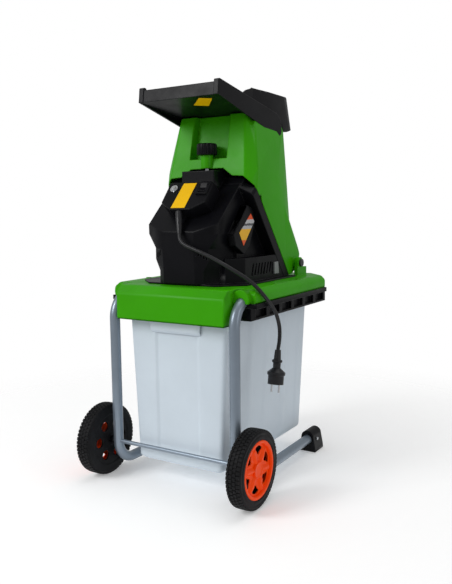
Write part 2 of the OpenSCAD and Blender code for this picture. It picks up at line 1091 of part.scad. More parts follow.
// Points of a smooth curve through the route, steps per stretch
function smooth(route, steps) =
    let (last = len(route) - 1)
    concat([for (k = [0:last - 1]) for (i = [0:steps - 1])
        let (
            t = i / steps,
            p0 = route[max(k - 1, 0)],
            p1 = route[k],
            p2 = route[k + 1],
            p3 = route[min(k + 2, last)]
        )
        0.5 * (2 * p1 + (p2 - p0) * t + (2 * p0 - 5 * p1 + 4 * p2 - p3) * t * t
            + (3 * p1 - p0 - 3 * p2 + p3) * t * t * t)],
        [route[last]]);

module sweep(path, r, n) {
    last = len(path) - 1;
    pts = [for (k = [0:last]) each ring_at(path[k], path[min(k + 1, last)] - path[max(k - 1, 0)], r, n)];
    sides = [for (k = [0:last - 1]) for (i = [0:n - 1]) for (t = [0, 1])
        t == 0
            ? [k * n + i, k * n + (i + 1) % n, (k + 1) * n + i]
            : [k * n + (i + 1) % n, (k + 1) * n + (i + 1) % n, (k + 1) * n + i]];
    start = [for (i = [n - 1:-1:0]) i];
    end = [for (i = [0:n - 1]) last * n + i];
    polyhedron(points = pts, faces = concat(sides, [start, end]));
}

module mains_cord() {
    color(black)
        sweep(smooth(cord_route, 2), cord_d / 2, 8);
}

// Frame of the plug: z points up along the cord
module plug_frame() {
    translate(cord_route[len(cord_route) - 1])
        rotate([180 - plug_tilt, 0, 0])
            children();
}

module mains_plug() {
    color(black)
        plug_frame()
            rotate_extrude()
                polygon([[0, 0], [7, 0], [8.5, 22], [12, 24], [12, 28], [9, 31], [9, 42], [21, 52], [21, 58],
                    [18.5, 60], [18.5, 80], [0, 80]]);
}

module plug_pins() {
    color(steel)
        plug_frame()
            for (x = [-9.5, 9.5])
                translate([x, 0, 80])
                    cylinder(r = 2.4, h = 19);
}

// ---------- hopper ----------

// Corners of the hopper housing, half of them; the rest are mirrored
hopper_half = [
    [93.5, -4, 895], [106.5, 19, 895], [105, 172, 895], [98, 181, 895],
    [112, -46, 706], [129, -18, 716], [rim_x2, -14, 704],
    [rim_x2, -10, 760], [rim_x2, 90, 705], [rim_x2, 135, 665],
    [rim_x2, 150, 478], [112, 198, 645], [112, 196, 500]
];
flare_half = [
    [rim_x2, 135, 665], [112, 192, 640], [rim_x2, 187, 595], [rim_x2, 224, 546], [rim_x2, 218, 524],
    [rim_x2, 196, 502], [rim_x2, 150, 480], [100, 224, 546], [100, 196, 502]
];
function with_mirror(half) = concat(half, [for (p = half) [-p[0], p[1], p[2]]]);
hopper_corners = with_mirror(hopper_half);
flare_corners = with_mirror(flare_half);

// Loft of the chute: mouth at the top, outlet under the joint plane; e lengthens both ends
module chute_form(t, e = 0) {
    loft([
        [520 - e, round_box(-50 - t, 50 + t, 50 - t, 106 + t, 12)],
        [640, round_box(-54 - t, 54 + t, 44 - t, 118 + t, 16)],
        [895 + e, round_box(-90 - t, 90 + t, 34 - t, 160 + t, 24)]
    ]);
}

// Recess in the front face of the hopper, grown by g
module recess(g) {
    body_of(with_mirror([[62 + g, -70, 788 - g], [50 + g, -4 + g, 788 - g], [65 + g, -60, 900],
        [46 + g, 14 + g, 900]]));
}

module hopper_housing() {
    color(green)
        difference() {
            union() {
                difference() {
                    union() {
                        body_of(hopper_corners);
                        body_of(flare_corners);
                    }
                    difference() {
                        union() {
                            body_of(inset(hopper_corners, [0, 80, 700], wall));
                            body_of(inset(flare_corners, [0, 170, 570], wall));
                        }
                        recess(wall);
                    }
                    recess(0);
                }
                // Bosses of the hinge
                for (x = [124, -137])
                    translate([x, hinge_y, hinge_z])
                        rod_x(13, 0, 13);
                // Bosses over the plate screws, along the side walls
                tilted()
                    for (p = plate_bolts)
                        translate([p[0], p[1], 4.6])
                            cylinder(r = 9, h = 13);
                // Post for the locking screw, down the lip under the recess
                translate([0, knob_y, 762])
                    cylinder(r = 15, h = 34.5);
            }
            // Everything under the joint plane
            tilted()
                translate([-220, -400, -300])
                    cube([440, 800, 300.6]);
            // Arch over the shoulder of the motor housing
            rotate([90, 0, 0])
                translate([0, 0, -8])
                    linear_extrude(80)
                        polygon(both_sides([[47, 764], [75, 745], [106, 743], [127, 720], [140, 640]]));
            // Top mouth
            translate([-92, 31, 880])
                cube([184, 132, 30]);
            for (x = [-138, 123])
                translate([x, hinge_y, hinge_z])
                    rod_x(6.06, 0, 15);
            // Bore of the locking screw
            translate([0, knob_y, 740])
                cylinder(r = 5.06, h = 70);
            for (p = plate_bolts)
                tilted()
                    translate([p[0], p[1], 0])
                        cylinder(r = 2, h = 16);
            // Open towards the base
            translate([-150, 100, base_z - 40])
                cube([300, 160, 45]);
        }
}

plate_bolts = [[-120, -50], [120, -50], [-120, 60], [120, 60]];

module feed_plate() {
    color([0.3, 0.31, 0.33])
        difference() {
            tilted()
                translate([0, 0, 0.6])
                    linear_extrude(4)
                        polygon(both_sides([[96, -92], [127, -76], [127, 140], [110, 150]]));
            chute_form(0.1, 5);
            for (p = plate_bolts)
                tilted()
                    translate([p[0], p[1], 0]) {
                        cylinder(r = 2, h = 20);
                        cylinder(r = 4, h = 2.6);
                    }
        }
}

module chute_liner() {
    color([0.12, 0.12, 0.13])
        difference() {
            chute_form(0);
            chute_form(-3, 1);
            tilted()
                translate([-200, -300, -300])
                    cube([400, 600, 300.6]);
        }
}

// Side view of the tray sides, which slope down away from the operator
band_side = [[-154, 917], [-150, 946], [-140, 951], [126, 908], [141, 899], [151, 890], [156, 868],
    [152, 857], [140, 850], [125, 850]];

// Half plan of the collar: straight sides, then a round corner; g grows it, cy places the corner
function collar_half(g, cy) = concat([[98 + g, 20], [104.5 + g, 100]],
    [for (i = [0:6]) [37.5 + (67 + g) * cos(15 * i), cy + (67 + g) * sin(15 * i)]]);

module collar_form(g, z0, z1) {
    // The collar leans back towards its top
    cy0 = 182 + (hopper_z - z0) * 0.23;
    cy1 = 182 + (hopper_z - z1) * 0.23;
    loft([
        [z0, both_sides(collar_half(g + (hopper_z - z0) * 0.04, cy0))],
        [z1, both_sides(collar_half(g + (hopper_z - z1) * 0.04, cy1))]
    ]);
}

module hopper_top() {
    color(black)
        difference() {
            union() {
                // Tray sides
                for (x = [-109, 109])
                    translate([x, 0, 0])
                        across(band_side, 2.5);
                // Cheeks that lead from the collar down to the tray sides
                for (x = [-98, 98])
                    translate([x, 0, 0])
                        across([[-42, 912], [-38, 932], [-10, 947], [24, hopper_z], [24, 897], [-10, 902]], 1.8);
                // Tray front
                across([[-154, 917], [-150, 946], [-146, 946], [-150, 917]], 108);
                // Corner posts
                for (x = [-105, 105])
                    translate([x, 0, 0])
                        across([[-156, 917], [-152, 950], [-148, 952], [-140, 951], [-140, 917]], 6.5);
                // Tray floor
                across([[-152, 917], [-152, 921], [20, 899], [60, 899], [60, 895], [20, 895]], 108);
                // Seat on the neck
                across([[16, 890], [16, 899], [188, 899], [188, 890]], 106);
                // Collar
                difference() {
                    collar_form(0, 864, hopper_z);
                    collar_form(-3.5, 899, hopper_z + 1);
                    translate([-200, -300, 850])
                        cube([400, 320.5, 120]);
                    // Hollow under the collar, around the neck
                    body_of(with_mirror([[101, 15, 860], [101, 15, 893], [101, 190, 893], [101, 195, 860],
                        [60, 250, 893], [60, 256, 860]]));
                    across([[10, 800], [10, 882], [76, 866], [190, 866], [275, 886], [300, 886], [300, 800]], 150);
                }
            }
            translate([-87, 37, 860])
                cube([174, 120, 60]);
            body_of(hopper_corners);
        }
}

// Label under the tray, on the slope of its floor
module hopper_label() {
    color(amber)
        translate([0, -152, 917])
            rotate([-7.29, 0, 0])
                mirror([0, 0, 1])
                    linear_extrude(0.6)
                        polygon([[50, 12], [78, 25], [36, 76], [4, 60]]);
}

module hopper_screws() {
    color(steel)
        for (p = plate_bolts)
            tilted()
                translate([p[0], p[1], 2.6])
                    mirror([0, 0, 1])
                        screw(2, 13, 4, 2);
}

module hinge_screws() {
    color(black)
        for (s = [0, 1])
            mirror([s, 0, 0])
                translate([0, hinge_y, hinge_z])
                    union() {
                        rod_x(6, 120, 148);
                        rod_x(10, 147.5, 153);
                    }
}

module locking_knob() {
    color(black)
        translate([0, knob_y, 797])
            difference() {
                cylinder(r = 25, h = 28);
                for (i = [0:17])
                    rotate([0, 0, 20 * i])
                        translate([26, 0, -1])
                            cylinder(r = 2, h = 30);
                translate([0, 0, -1])
                    cylinder(r = 5, h = 20);
            }
}

module knob_screw() {
    color(steel)
        translate([0, knob_y, 755])
            cylinder(r = 5, h = 60);
}

frame_tube_left();
frame_tube_right();
axle_rod();
axle_spacers();
foot_left();
foot_right();
foot_screws();
frame_bolts();
base_cover();
base_skirt();
base_screws();
motor_housing();
control_panel();
panel_label();
side_panel_left();
side_panel_right();
side_label();
latch_catches();
housing_screws();
cutting_chamber();
motor_stator();
field_coils();
motor_end_bell();
brush_holders();
bearing_upper();
bearing_lower();
safety_switch();
switch_body();
overload_breaker();
strain_relief();
mains_cord();
mains_plug();
plug_pins();
hinge_screws();
rotor_shaft();
armature_core();
commutator();
cooling_fan();
blade_disc();
knife_blades();
blade_screws();
disc_bolt();
hopper_housing();
hopper_top();
chute_liner();
feed_plate();
hopper_label();
hopper_screws();
locking_knob();
knob_screw();
switch_rocker();
reset_button();
collection_bin();
wheel_left();
hub_cap_left();
wheel_right();
hub_cap_right();
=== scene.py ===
import json
import math

import bmesh
import bpy
from mathutils import Matrix, Vector


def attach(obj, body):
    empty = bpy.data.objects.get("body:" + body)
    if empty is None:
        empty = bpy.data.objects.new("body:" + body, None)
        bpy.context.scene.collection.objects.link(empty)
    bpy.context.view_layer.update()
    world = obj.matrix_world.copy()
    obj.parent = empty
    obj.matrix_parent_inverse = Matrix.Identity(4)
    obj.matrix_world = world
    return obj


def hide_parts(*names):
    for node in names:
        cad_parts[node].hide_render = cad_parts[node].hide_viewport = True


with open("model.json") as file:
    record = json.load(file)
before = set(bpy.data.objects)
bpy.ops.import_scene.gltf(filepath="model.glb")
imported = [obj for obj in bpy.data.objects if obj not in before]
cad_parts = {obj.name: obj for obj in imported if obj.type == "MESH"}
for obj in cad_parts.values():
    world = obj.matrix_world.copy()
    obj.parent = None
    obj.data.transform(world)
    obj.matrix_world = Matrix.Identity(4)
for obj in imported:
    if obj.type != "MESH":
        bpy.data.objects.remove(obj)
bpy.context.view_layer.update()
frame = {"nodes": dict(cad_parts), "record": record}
nodes = frame["nodes"]
scene = bpy.context.scene


# ---------- camera ----------

EYE = Vector((0.9219, -1.4543, 0.6564))
AIM = Vector((-0.00235, 0.0615, 0.44705))
ROLL = math.radians(-0.64)
LENS = 41.62
SHIFT = -0.0024


def make_camera():
    """Camera at EYE that looks at AIM, with a slight roll."""
    back = (EYE - AIM).normalized()
    right = Vector((0, 0, 1)).cross(back).normalized()
    up = back.cross(right)
    r = right * math.cos(ROLL) + up * math.sin(ROLL)
    u = up * math.cos(ROLL) - right * math.sin(ROLL)
    cam = bpy.data.objects.new("camera", bpy.data.cameras.new("camera"))
    cam.matrix_world = Matrix((
        (r.x, u.x, back.x, EYE.x),
        (r.y, u.y, back.y, EYE.y),
        (r.z, u.z, back.z, EYE.z),
        (0, 0, 0, 1)))
    cam.data.sensor_width = 36
    cam.data.lens = LENS
    cam.data.shift_x = SHIFT
    cam.data.clip_start = 0.05
    cam.data.clip_end = 60
    scene.collection.objects.link(cam)
    scene.camera = cam


make_camera()


# ---------- materials ----------

def new_material(name):
    """Material, its node tree and its shader."""
    m = bpy.data.materials.new(name)
    m.use_nodes = True
    t = m.node_tree
    b = t.nodes["Principled BSDF"]
    return m, t, b


def noise(t, coord, scale, detail=3, rough=0.5):
    """Value of a noise texture at coord."""
    n = t.nodes.new("ShaderNodeTexNoise")
    n.inputs["Scale"].default_value = scale
    n.inputs["Detail"].default_value = detail
    n.inputs["Roughness"].default_value = rough
    t.links.new(coord, n.inputs["Vector"])
    return n.outputs["Fac"]


def spread(t, value, low, high, from_low=0.3, from_high=0.7):
    """Value stretched from one range to another; the first suits a noise."""
    n = t.nodes.new("ShaderNodeMapRange")
    n.inputs["From Min"].default_value = from_low
    n.inputs["From Max"].default_value = from_high
    n.inputs["To Min"].default_value = low
    n.inputs["To Max"].default_value = high
    t.links.new(value, n.inputs["Value"])
    return n.outputs["Result"]


def mixed(t, factor, a, b):
    """Mix of two colours, each a constant or a socket."""
    n = t.nodes.new("ShaderNodeMix")
    n.data_type = "RGBA"
    t.links.new(factor, n.inputs["Factor"])
    for socket, v in ((n.inputs[6], a), (n.inputs[7], b)):
        if isinstance(v, tuple):
            socket.default_value = (*v, 1)
        else:
            t.links.new(v, socket)
    return n.outputs[2]


def finish_material(name, colour, rough, metallic=0.0, vary=0.12, grain=900, bump=0.06, edge_rub_and_highlight_amount=0.1,
                    edge=0.0015, coat=0.0, edge_rub_and_highlight_tint=None, stretch=(1, 1, 1), spec=0.5):
    """Moulded or coated surface: colour drift, fine grain, paler edges that are partly rubbed wear and partly
    a painted highlight, and uneven gloss.
    """
    m, t, b = new_material(name)
    tc = t.nodes.new("ShaderNodeTexCoord")
    mp = t.nodes.new("ShaderNodeMapping")
    mp.inputs["Scale"].default_value = stretch
    t.links.new(tc.outputs["Object"], mp.inputs["Vector"])
    at = mp.outputs["Vector"]
    drift = noise(t, at, 7, 4, 0.6)
    dark = tuple(c * (1 - vary) for c in colour)
    light = tuple(min(1, c * (1 + vary)) for c in colour)
    base = mixed(t, spread(t, drift, 0, 1), dark, light)
    geo = t.nodes.new("ShaderNodeNewGeometry")
    bev = t.nodes.new("ShaderNodeBevel")
    bev.samples = 4
    bev.inputs["Radius"].default_value = edge
    dot = t.nodes.new("ShaderNodeVectorMath")
    dot.operation = "DOT_PRODUCT"
    t.links.new(geo.outputs["Normal"], dot.inputs[0])
    t.links.new(bev.outputs["Normal"], dot.inputs[1])
    on_edge = spread(t, dot.outputs["Value"], 1, 0, 0.86, 0.995)
    patch = noise(t, at, 60, 4, 0.7)
    # Paler colour along the edges: partly rubbed wear, partly a painted highlight
    edge_rub_and_highlight_mask = t.nodes.new("ShaderNodeMath")
    edge_rub_and_highlight_mask.operation = "MULTIPLY"
    t.links.new(on_edge, edge_rub_and_highlight_mask.inputs[0])
    t.links.new(spread(t, patch, edge_rub_and_highlight_amount * 0.4, edge_rub_and_highlight_amount * 2, 0.35, 0.65), edge_rub_and_highlight_mask.inputs[1])
    edge_rub_and_highlight_colour = edge_rub_and_highlight_tint or tuple(min(1, c * 1.6 + 0.05) for c in colour)
    t.links.new(mixed(t, edge_rub_and_highlight_mask.outputs[0], base, edge_rub_and_highlight_colour), b.inputs["Base Color"])
    fine = noise(t, at, grain, 2, 0.6)
    t.links.new(spread(t, noise(t, at, 25, 4, 0.6), rough * 0.85, min(1, rough * 1.2)), b.inputs["Roughness"])
    b.inputs["Metallic"].default_value = metallic
    b.inputs["Specular IOR Level"].default_value = spec
    b.inputs["Coat Weight"].default_value = coat
    b.inputs["Coat Roughness"].default_value = 0.12
    bp = t.nodes.new("ShaderNodeBump")
    bp.inputs["Strength"].default_value = bump
    bp.inputs["Distance"].default_value = 0.0006
    t.links.new(fine, bp.inputs["Height"])
    t.links.new(bev.outputs["Normal"], bp.inputs["Normal"])
    t.links.new(bp.outputs["Normal"], b.inputs["Normal"])
    return m


# The pale edge tint of each finish is partly rubbed wear and partly a painted highlight along its edges
FINISHES = {
    "green_plastic": dict(colour=(0.044, 0.365, 0.0), rough=0.36, vary=0.05, bump=0.05, edge=0.004,
                          edge_rub_and_highlight_tint=(0.16, 0.6, 0.01), edge_rub_and_highlight_amount=0.16, spec=0.13),
    "black_plastic": dict(colour=(0.0035, 0.0035, 0.005), rough=0.34, vary=0.25, bump=0.1, edge=0.0022,
                          edge_rub_and_highlight_tint=(0.06, 0.06, 0.066), edge_rub_and_highlight_amount=0.32, spec=0.12),
    "frosted_plastic": dict(colour=(0.66, 0.745, 0.82), rough=0.5, vary=0.03, bump=0.05, edge=0.003,
                            edge_rub_and_highlight_tint=(0.8, 0.84, 0.88), edge_rub_and_highlight_amount=0.15, grain=400),
    "frame_steel": dict(colour=(0.24, 0.29, 0.35), rough=0.34, metallic=0.55, vary=0.08, bump=0.04,
                        edge=0.0006, edge_rub_and_highlight_tint=(0.4, 0.42, 0.45), edge_rub_and_highlight_amount=0.08, coat=0.2),
    "bare_steel": dict(colour=(0.5, 0.52, 0.54), rough=0.3, metallic=1.0, vary=0.1, bump=0.05,
                       edge=0.0006, grain=500, stretch=(1, 12, 12)),
    "bright_steel": dict(colour=(0.72, 0.73, 0.75), rough=0.16, metallic=1.0, vary=0.06, bump=0.02,
                         edge=0.0008),
    "dark_steel": dict(colour=(0.045, 0.045, 0.05), rough=0.4, metallic=0.3, vary=0.2, edge=0.001),
    "orange_plastic": dict(colour=(1.0, 0.068, 0.0), rough=0.36, vary=0.05, bump=0.04, edge=0.0022,
                           edge_rub_and_highlight_tint=(1.0, 0.2, 0.03), edge_rub_and_highlight_amount=0.1, spec=0.12),
    "label_amber": dict(colour=(1.0, 0.56, 0.0), rough=0.4, vary=0.03, bump=0.02, edge=0.0003, spec=0.2),
    "wheel_rubber": dict(colour=(0.005, 0.005, 0.006), rough=0.55, vary=0.3, bump=0.25, edge=0.001,
                         edge_rub_and_highlight_tint=(0.06, 0.06, 0.06), edge_rub_and_highlight_amount=0.35, grain=600, spec=0.16),
    "cord_rubber": dict(colour=(0.007, 0.007, 0.009), rough=0.4, vary=0.2, bump=0.1, edge=0.001,
                        edge_rub_and_highlight_tint=(0.06, 0.06, 0.065), spec=0.4),
    "copper_wire": dict(colour=(0.55, 0.22, 0.09), rough=0.35, metallic=0.9, vary=0.15, grain=300, bump=0.3),
    "cast_grey": dict(colour=(0.3, 0.31, 0.32), rough=0.45, metallic=0.5, vary=0.1, bump=0.2, edge=0.001),
    "red_plastic": dict(colour=(0.4, 0.02, 0.01), rough=0.4, edge=0.001),
    "white_plastic": dict(colour=(0.7, 0.7, 0.66), rough=0.45, edge=0.001),
}
mat = {name: finish_material(name, **finish) for name, finish in FINISHES.items()}


LABEL_FOOT = 0.577
LABEL_TOP = 0.658


def label_material():
    """Plain colour fields of the side label, from its foot at LABEL_FOOT to its top at LABEL_TOP."""
    m, t, b = new_material("side_label")
    tc = t.nodes.new("ShaderNodeTexCoord")
    sep = t.nodes.new("ShaderNodeSeparateXYZ")
    t.links.new(tc.outputs["Object"], sep.inputs[0])
    n = noise(t, tc.outputs["Object"], 220, 2, 0.6)
    add = t.nodes.new("ShaderNodeMath")
    add.operation = "MULTIPLY_ADD"
    add.inputs[1].default_value = 0.006
    t.links.new(n, add.inputs[0])
    t.links.new(sep.outputs["Z"], add.inputs[2])
    ramp = t.nodes.new("ShaderNodeValToRGB")
    ramp.color_ramp.interpolation = "CONSTANT"
    fields = [(0.0, (0.85, 0.1, 0.01, 1)), (0.2, (0.95, 0.5, 0.01, 1)), (0.52, (0.5, 0.5, 0.52, 1)),
              (0.62, (0.08, 0.08, 0.09, 1)), (0.68, (0.55, 0.55, 0.57, 1)), (0.8, (0.85, 0.09, 0.01, 1))]
    stops = ramp.color_ramp.elements
    for stop, (place, colour) in zip(stops, fields):
        stop.position = place
        stop.color = colour
    for place, colour in fields[2:]:
        stops.new(place).color = colour
    t.links.new(spread(t, add.outputs[0], 0, 1, LABEL_FOOT, LABEL_TOP), ramp.inputs["Fac"])
    t.links.new(ramp.outputs["Color"], b.inputs["Base Color"])
    t.links.new(spread(t, n, 0.3, 0.42), b.inputs["Roughness"])
    return m


# Material slot and body of each node of the frame
slot_of = {s["node"]: s["material_slot"] for s in frame["record"]["subparts"]}
body_of = {n: b for b, ns in frame["record"]["behaviour"]["bodies"].items() for n in ns}


def paint(obj, m):
    """Gives obj the one material m."""
    obj.data.materials.clear()
    obj.data.materials.append(m)


for name, obj in nodes.items():
    paint(obj, mat[slot_of[name]])
paint(nodes["side_label"], label_material())


def piece(name, verts, faces, body, slot, smooth=40):
    """New piece from its points and faces, on a body of the frame."""
    me = bpy.data.meshes.new(name)
    me.from_pydata(verts, [], faces)
    me.validate()
    obj = bpy.data.objects.new(name, me)
    scene.collection.objects.link(obj)
    bm = bmesh.new()
    bm.from_mesh(obj.data)
    bmesh.ops.remove_doubles(bm, verts=bm.verts, dist=1e-6)
    bmesh.ops.recalc_face_normals(bm, faces=bm.faces)
    for f in bm.faces:
        f.smooth = True
    for e in bm.edges:
        if len(e.link_faces) == 2 and e.calc_face_angle(0) > math.radians(smooth):
            e.smooth = False
    bm.to_mesh(obj.data)
    bm.free()
    paint(obj, mat[slot])
    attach(obj, body)
    return obj


# ---------- cord ----------

CORD_RADIUS = 0.0045
# Middle line of the cord in mm, from the strain relief to the plug
CORD_ROUTE = [
    (13, -174, 607), (18, -179, 596), (27, -181, 587), (40, -181, 580), (56, -180, 574), (75, -179, 567),
    (96, -176, 558), (117, -173, 548), (138, -170, 537), (159, -164, 524), (178, -156, 511),
    (196, -146, 494), (208, -133, 475), (214, -107, 449), (216, -83, 424), (217, -68, 392),
    (217, -67, 363), (216, -73, 337)]


def smooth_path(pts, steps):
    """Smooth curve through all the points, with a number of steps between each two."""
    out = []
    n = len(pts)
    for k in range(n - 1):
        p0, p1, p2, p3 = pts[max(k - 1, 0)], pts[k], pts[k + 1], pts[min(k + 2, n - 1)]
        for i in range(steps):
            t = i / steps
            out.append(0.5 * (2 * p1 + (p2 - p0) * t + (2 * p0 - 5 * p1 + 4 * p2 - p3) * t * t
                              + (3 * p1 - p0 - 3 * p2 + p3) * t ** 3))
    out.append(pts[-1])
    return out


def make_cord():
    """Round cord that hangs from the strain relief down to the plug."""
    path = smooth_path([Vector(p) / 1000 for p in CORD_ROUTE], 6)
    curve = bpy.data.curves.new("cord", "CURVE")
    curve.dimensions = "3D"
    curve.bevel_depth = CORD_RADIUS
    curve.bevel_resolution = 5
    curve.use_fill_caps = True
    spline = curve.splines.new("POLY")
    spline.points.add(len(path) - 1)
    for point, place in zip(spline.points, path):
        point.co = (*place, 1)
    spline.use_smooth = True
    obj = bpy.data.objects.new("cord", curve)
    scene.collection.objects.link(obj)
    curve.materials.append(mat["cord_rubber"])
    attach(obj, "base")
    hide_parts("mains_cord")


make_cord()


# ---------- light and floor ----------

LIT_POINT = Vector((0, 0, 0.5))


def area_light(name, place, width, height, power):
    """Soft white light aimed at the middle of the machine."""
    light = bpy.data.lights.new(name, "AREA")
    light.shape = "RECTANGLE"
    light.size = width
    light.size_y = height
    light.energy = power
    obj = bpy.data.objects.new(name, light)
    obj.location = place
    obj.rotation_mode = "QUATERNION"
    obj.rotation_quaternion = (LIT_POINT - Vector(place)).to_track_quat("-Z", "Y")
    scene.collection.objects.link(obj)


def make_world():
    """White backdrop that lights the machine less than it shows to the camera."""
    world = bpy.data.worlds.new("studio")
    scene.world = world
    world.use_nodes = True
    tree = world.node_tree
    backdrop = tree.nodes["Background"]
    backdrop.inputs["Color"].default_value = (1, 1, 1, 1)
    rays = tree.nodes.new("ShaderNodeLightPath")
    strength = tree.nodes.new("ShaderNodeMapRange")
    strength.inputs["To Min"].default_value = 0.42
    strength.inputs["To Max"].default_value = 1.0
    tree.links.new(rays.outputs["Is Camera Ray"], strength.inputs["Value"])
    tree.links.new(strength.outputs["Result"], backdrop.inputs["Strength"])


area_light("key", (-1.5, -2.6, 2.2), 1.2, 1.6, 54)
area_light("top", (0.2, 0.4, 3.2), 2.0, 2.0, 20)
area_light("side", (3.0, -0.2, 1.3), 0.8, 1.8, 8)
make_world()
scene.view_settings.view_transform = "Standard"

FLOOR_REACH = 14.0
FADE_START = 0.4
FADE_END = 1.3


def make_floor():
    """Round pale floor that fades into the backdrop far out."""
    n = 96
    turns = [2 * math.pi * i / n for i in range(n)]
    verts = [(FLOOR_REACH * math.cos(a), FLOOR_REACH * math.sin(a), 0) for a in turns]
    me = bpy.data.meshes.new("floor")
    me.from_pydata(verts, [], [list(range(n))])
    obj = bpy.data.objects.new("floor", me)
    scene.collection.objects.link(obj)
    m, t, b = new_material("floor")
    b.inputs["Base Color"].default_value = (0.95, 0.95, 0.95, 1)
    b.inputs["Roughness"].default_value = 0.9
    b.inputs["Emission Color"].default_value = (1, 1, 1, 1)
    b.inputs["Emission Strength"].default_value = 0.22
    tc = t.nodes.new("ShaderNodeTexCoord")
    ln = t.nodes.new("ShaderNodeVectorMath")
    ln.operation = "LENGTH"
    t.links.new(tc.outputs["Object"], ln.inputs[0])
    clear = t.nodes.new("ShaderNodeBsdfTransparent")
    mix = t.nodes.new("ShaderNodeMixShader")
    t.links.new(spread(t, ln.outputs["Value"], 0, 1, FADE_START, FADE_END), mix.inputs["Fac"])
    t.links.new(b.outputs["BSDF"], mix.inputs[1])
    t.links.new(clear.outputs["BSDF"], mix.inputs[2])
    t.links.new(mix.outputs["Shader"], t.nodes["Material Output"].inputs["Surface"])
    me.materials.append(m)


make_floor()


# ---------- wheels ----------

# Inner face of a wheel, and its axis
WHEEL_X = 0.1945
WHEEL_Y = -0.195
WHEEL_Z = 0.09
SPOKES = 6
SECTOR = math.radians(360 / SPOKES)


def lathe(profile, n, to_world, wrap=False):
    """Turns (radius, along) pairs about an axis; to_world maps (a, b, along) to the frame."""
    verts, faces = [], []
    for i in range(n):
        a = 2 * math.pi * i / n
        for r, z in profile:
            verts.append(to_world(r * math.cos(a), r * math.sin(a), z))
    m = len(profile)
    for i in range(n):
        j = (i + 1) % n
        for k in range(m if wrap else m - 1):
            l = (k + 1) % m
            faces.append((i * m + k, j * m + k, j * m + l, i * m + l))
    return verts, faces


def wheel_frame(side):
    """Maps a place on a wheel in mm, with z outward along the axle, to metres in the frame."""
    return lambda a, b, z: (side * (WHEEL_X + z / 1000), WHEEL_Y + a / 1000, WHEEL_Z + b / 1000)


def make_tyre(at, word):
    """Tyre wall with its bead, shoulders and the seat of the cap."""
    shape = [(62, 1.2), (64, 0.2), (68, 0.1), (74, 0.9), (80, 0.6), (83.5, 1.2), (86.2, 4), (87, 8),
             (87.2, 19), (87, 30), (86.2, 34), (83.5, 36.8), (80, 37.4), (79, 36.9), (77, 36.8),
             (76, 37.4), (70, 37.9), (67.2, 37.6), (66.2, 36), (66.1, 20), (65, 8), (62, 6.5)]
    verts, faces = lathe(shape, 128, at, wrap=True)
    tyre = piece("tyre_" + word, verts, faces, word + "_wheel", "wheel_rubber", smooth=60)
    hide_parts("wheel_" + word)


def make_tread(at, word):
    """Four rows of blocks, every other row half a step round."""
    rows = [(2.6, 9.6, 0.0), (10.8, 18.4, 0.5), (19.6, 27.2, 0.0), (28.4, 35.4, 0.5)]
    count = 58
    filled = 0.74
    # Radius of each layer of a block, and how far it is pulled in
    layers = ((85.4, 0), (88.9, 0.1), (89.6, 0.9))
    middle, flat = 19, 13
    verts, faces = [], []
    for z0, z1, shift in rows:
        for i in range(count):
            a0 = 2 * math.pi * (i + shift) / count
            a1 = a0 + 2 * math.pi / count * filled
            k = len(verts)
            for r, g in layers:
                turn = g / 90
                for z, a in ((z0 + g, a0 + turn), (z0 + g, a1 - turn),
                             (z1 - g, a1 - turn), (z1 - g, a0 + turn)):
                    rr = r - max(0, abs(z - middle) - flat) * 0.22
                    verts.append(at(rr * math.cos(a), rr * math.sin(a), z))
            for low in (k, k + 4):
                for j in range(4):
                    l = (j + 1) % 4
                    faces.append((low + j, low + l, low + 4 + l, low + 4 + j))
            faces.append((k + 8, k + 9, k + 10, k + 11))
    piece("tread_" + word, verts, faces, word + "_wheel", "wheel_rubber", smooth=25)


def make_web(at, word):
    """Inner web with a round hole in each sector."""
    n = 24
    hole_at, hole_r = 42, 12.5
    middle, reach = 39.5, 23
    verts, faces = [], []
    for layer in (1.0, 6.0):
        for s in range(SPOKES):
            mid = SECTOR * s
            for j in range(n):
                a = 2 * math.pi * j / n
                ca, sa = math.cos(a), math.sin(a)
                # Outline of the sector round the hole, in polar form
                m = max(abs(ca), abs(sa))
                rr = middle + reach * ca / m
                tt = SECTOR / 2 * sa / m
                for x, y in ((hole_at + hole_r * ca, hole_r * sa), (rr * math.cos(tt), rr * math.sin(tt))):
                    verts.append(at(x * math.cos(mid) - y * math.sin(mid),
                                    x * math.sin(mid) + y * math.cos(mid), layer))
    per = SPOKES * n * 2
    for s in range(SPOKES):
        for j in range(n):
            a0 = (s * n + j) * 2
            a1 = (s * n + (j + 1) % n) * 2
            faces.append((a0, a1, a1 + 1, a0 + 1))
            faces.append((per + a0 + 1, per + a1 + 1, per + a1, per + a0))
            faces.append((a1, a0, per + a0, per + a1))
    piece("web_" + word, verts, faces, word + "_wheel", "wheel_rubber", smooth=30)


def make_hub(at, word):
    """Flanged sleeve that runs on the axle rod."""
    shape = [(5.3, 0.1), (14, 0.1), (17, 1), (16.6, 6), (14, 7.5), (13.6, 19), (12.8, 19.5), (5.3, 19.5)]
    verts, faces = lathe(shape, 48, at, wrap=True)
    piece("hub_" + word, verts, faces, word + "_wheel", "wheel_rubber", smooth=35)


def make_cap_rim(at, word):
    """Outer ring of the cap."""
    shape = [(56.6, 28), (57, 32.5), (58.4, 36.6), (60, 37.8), (63.6, 38), (65.4, 37.6), (66, 36.8), (66, 19),
             (63.5, 18.2), (63.5, 28)]
    verts, faces = lathe(shape, 128, at, wrap=True)
    rim = piece("cap_rim_" + word, verts, faces, word + "_wheel", "orange_plastic", smooth=35)
    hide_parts("hub_cap_" + word)


def cap_depth(r, t):
    """Height of the cap's face: a web with a rounded spoke along each edge of the sector."""
    off = abs(SECTOR / 2 - abs(t)) * r
    half = 6.5 + (r - 18) * 0.1
    bulge = 0.5 + 0.5 * math.cos(math.pi * min(1.0, off / half))
    ends = min(1.0, max(0.0, (56 - r) / 5)) * min(1.0, max(0.0, (r - 14) / 5))
    return 31.2 + 4.6 * bulge ** 0.6 * ends ** 0.5


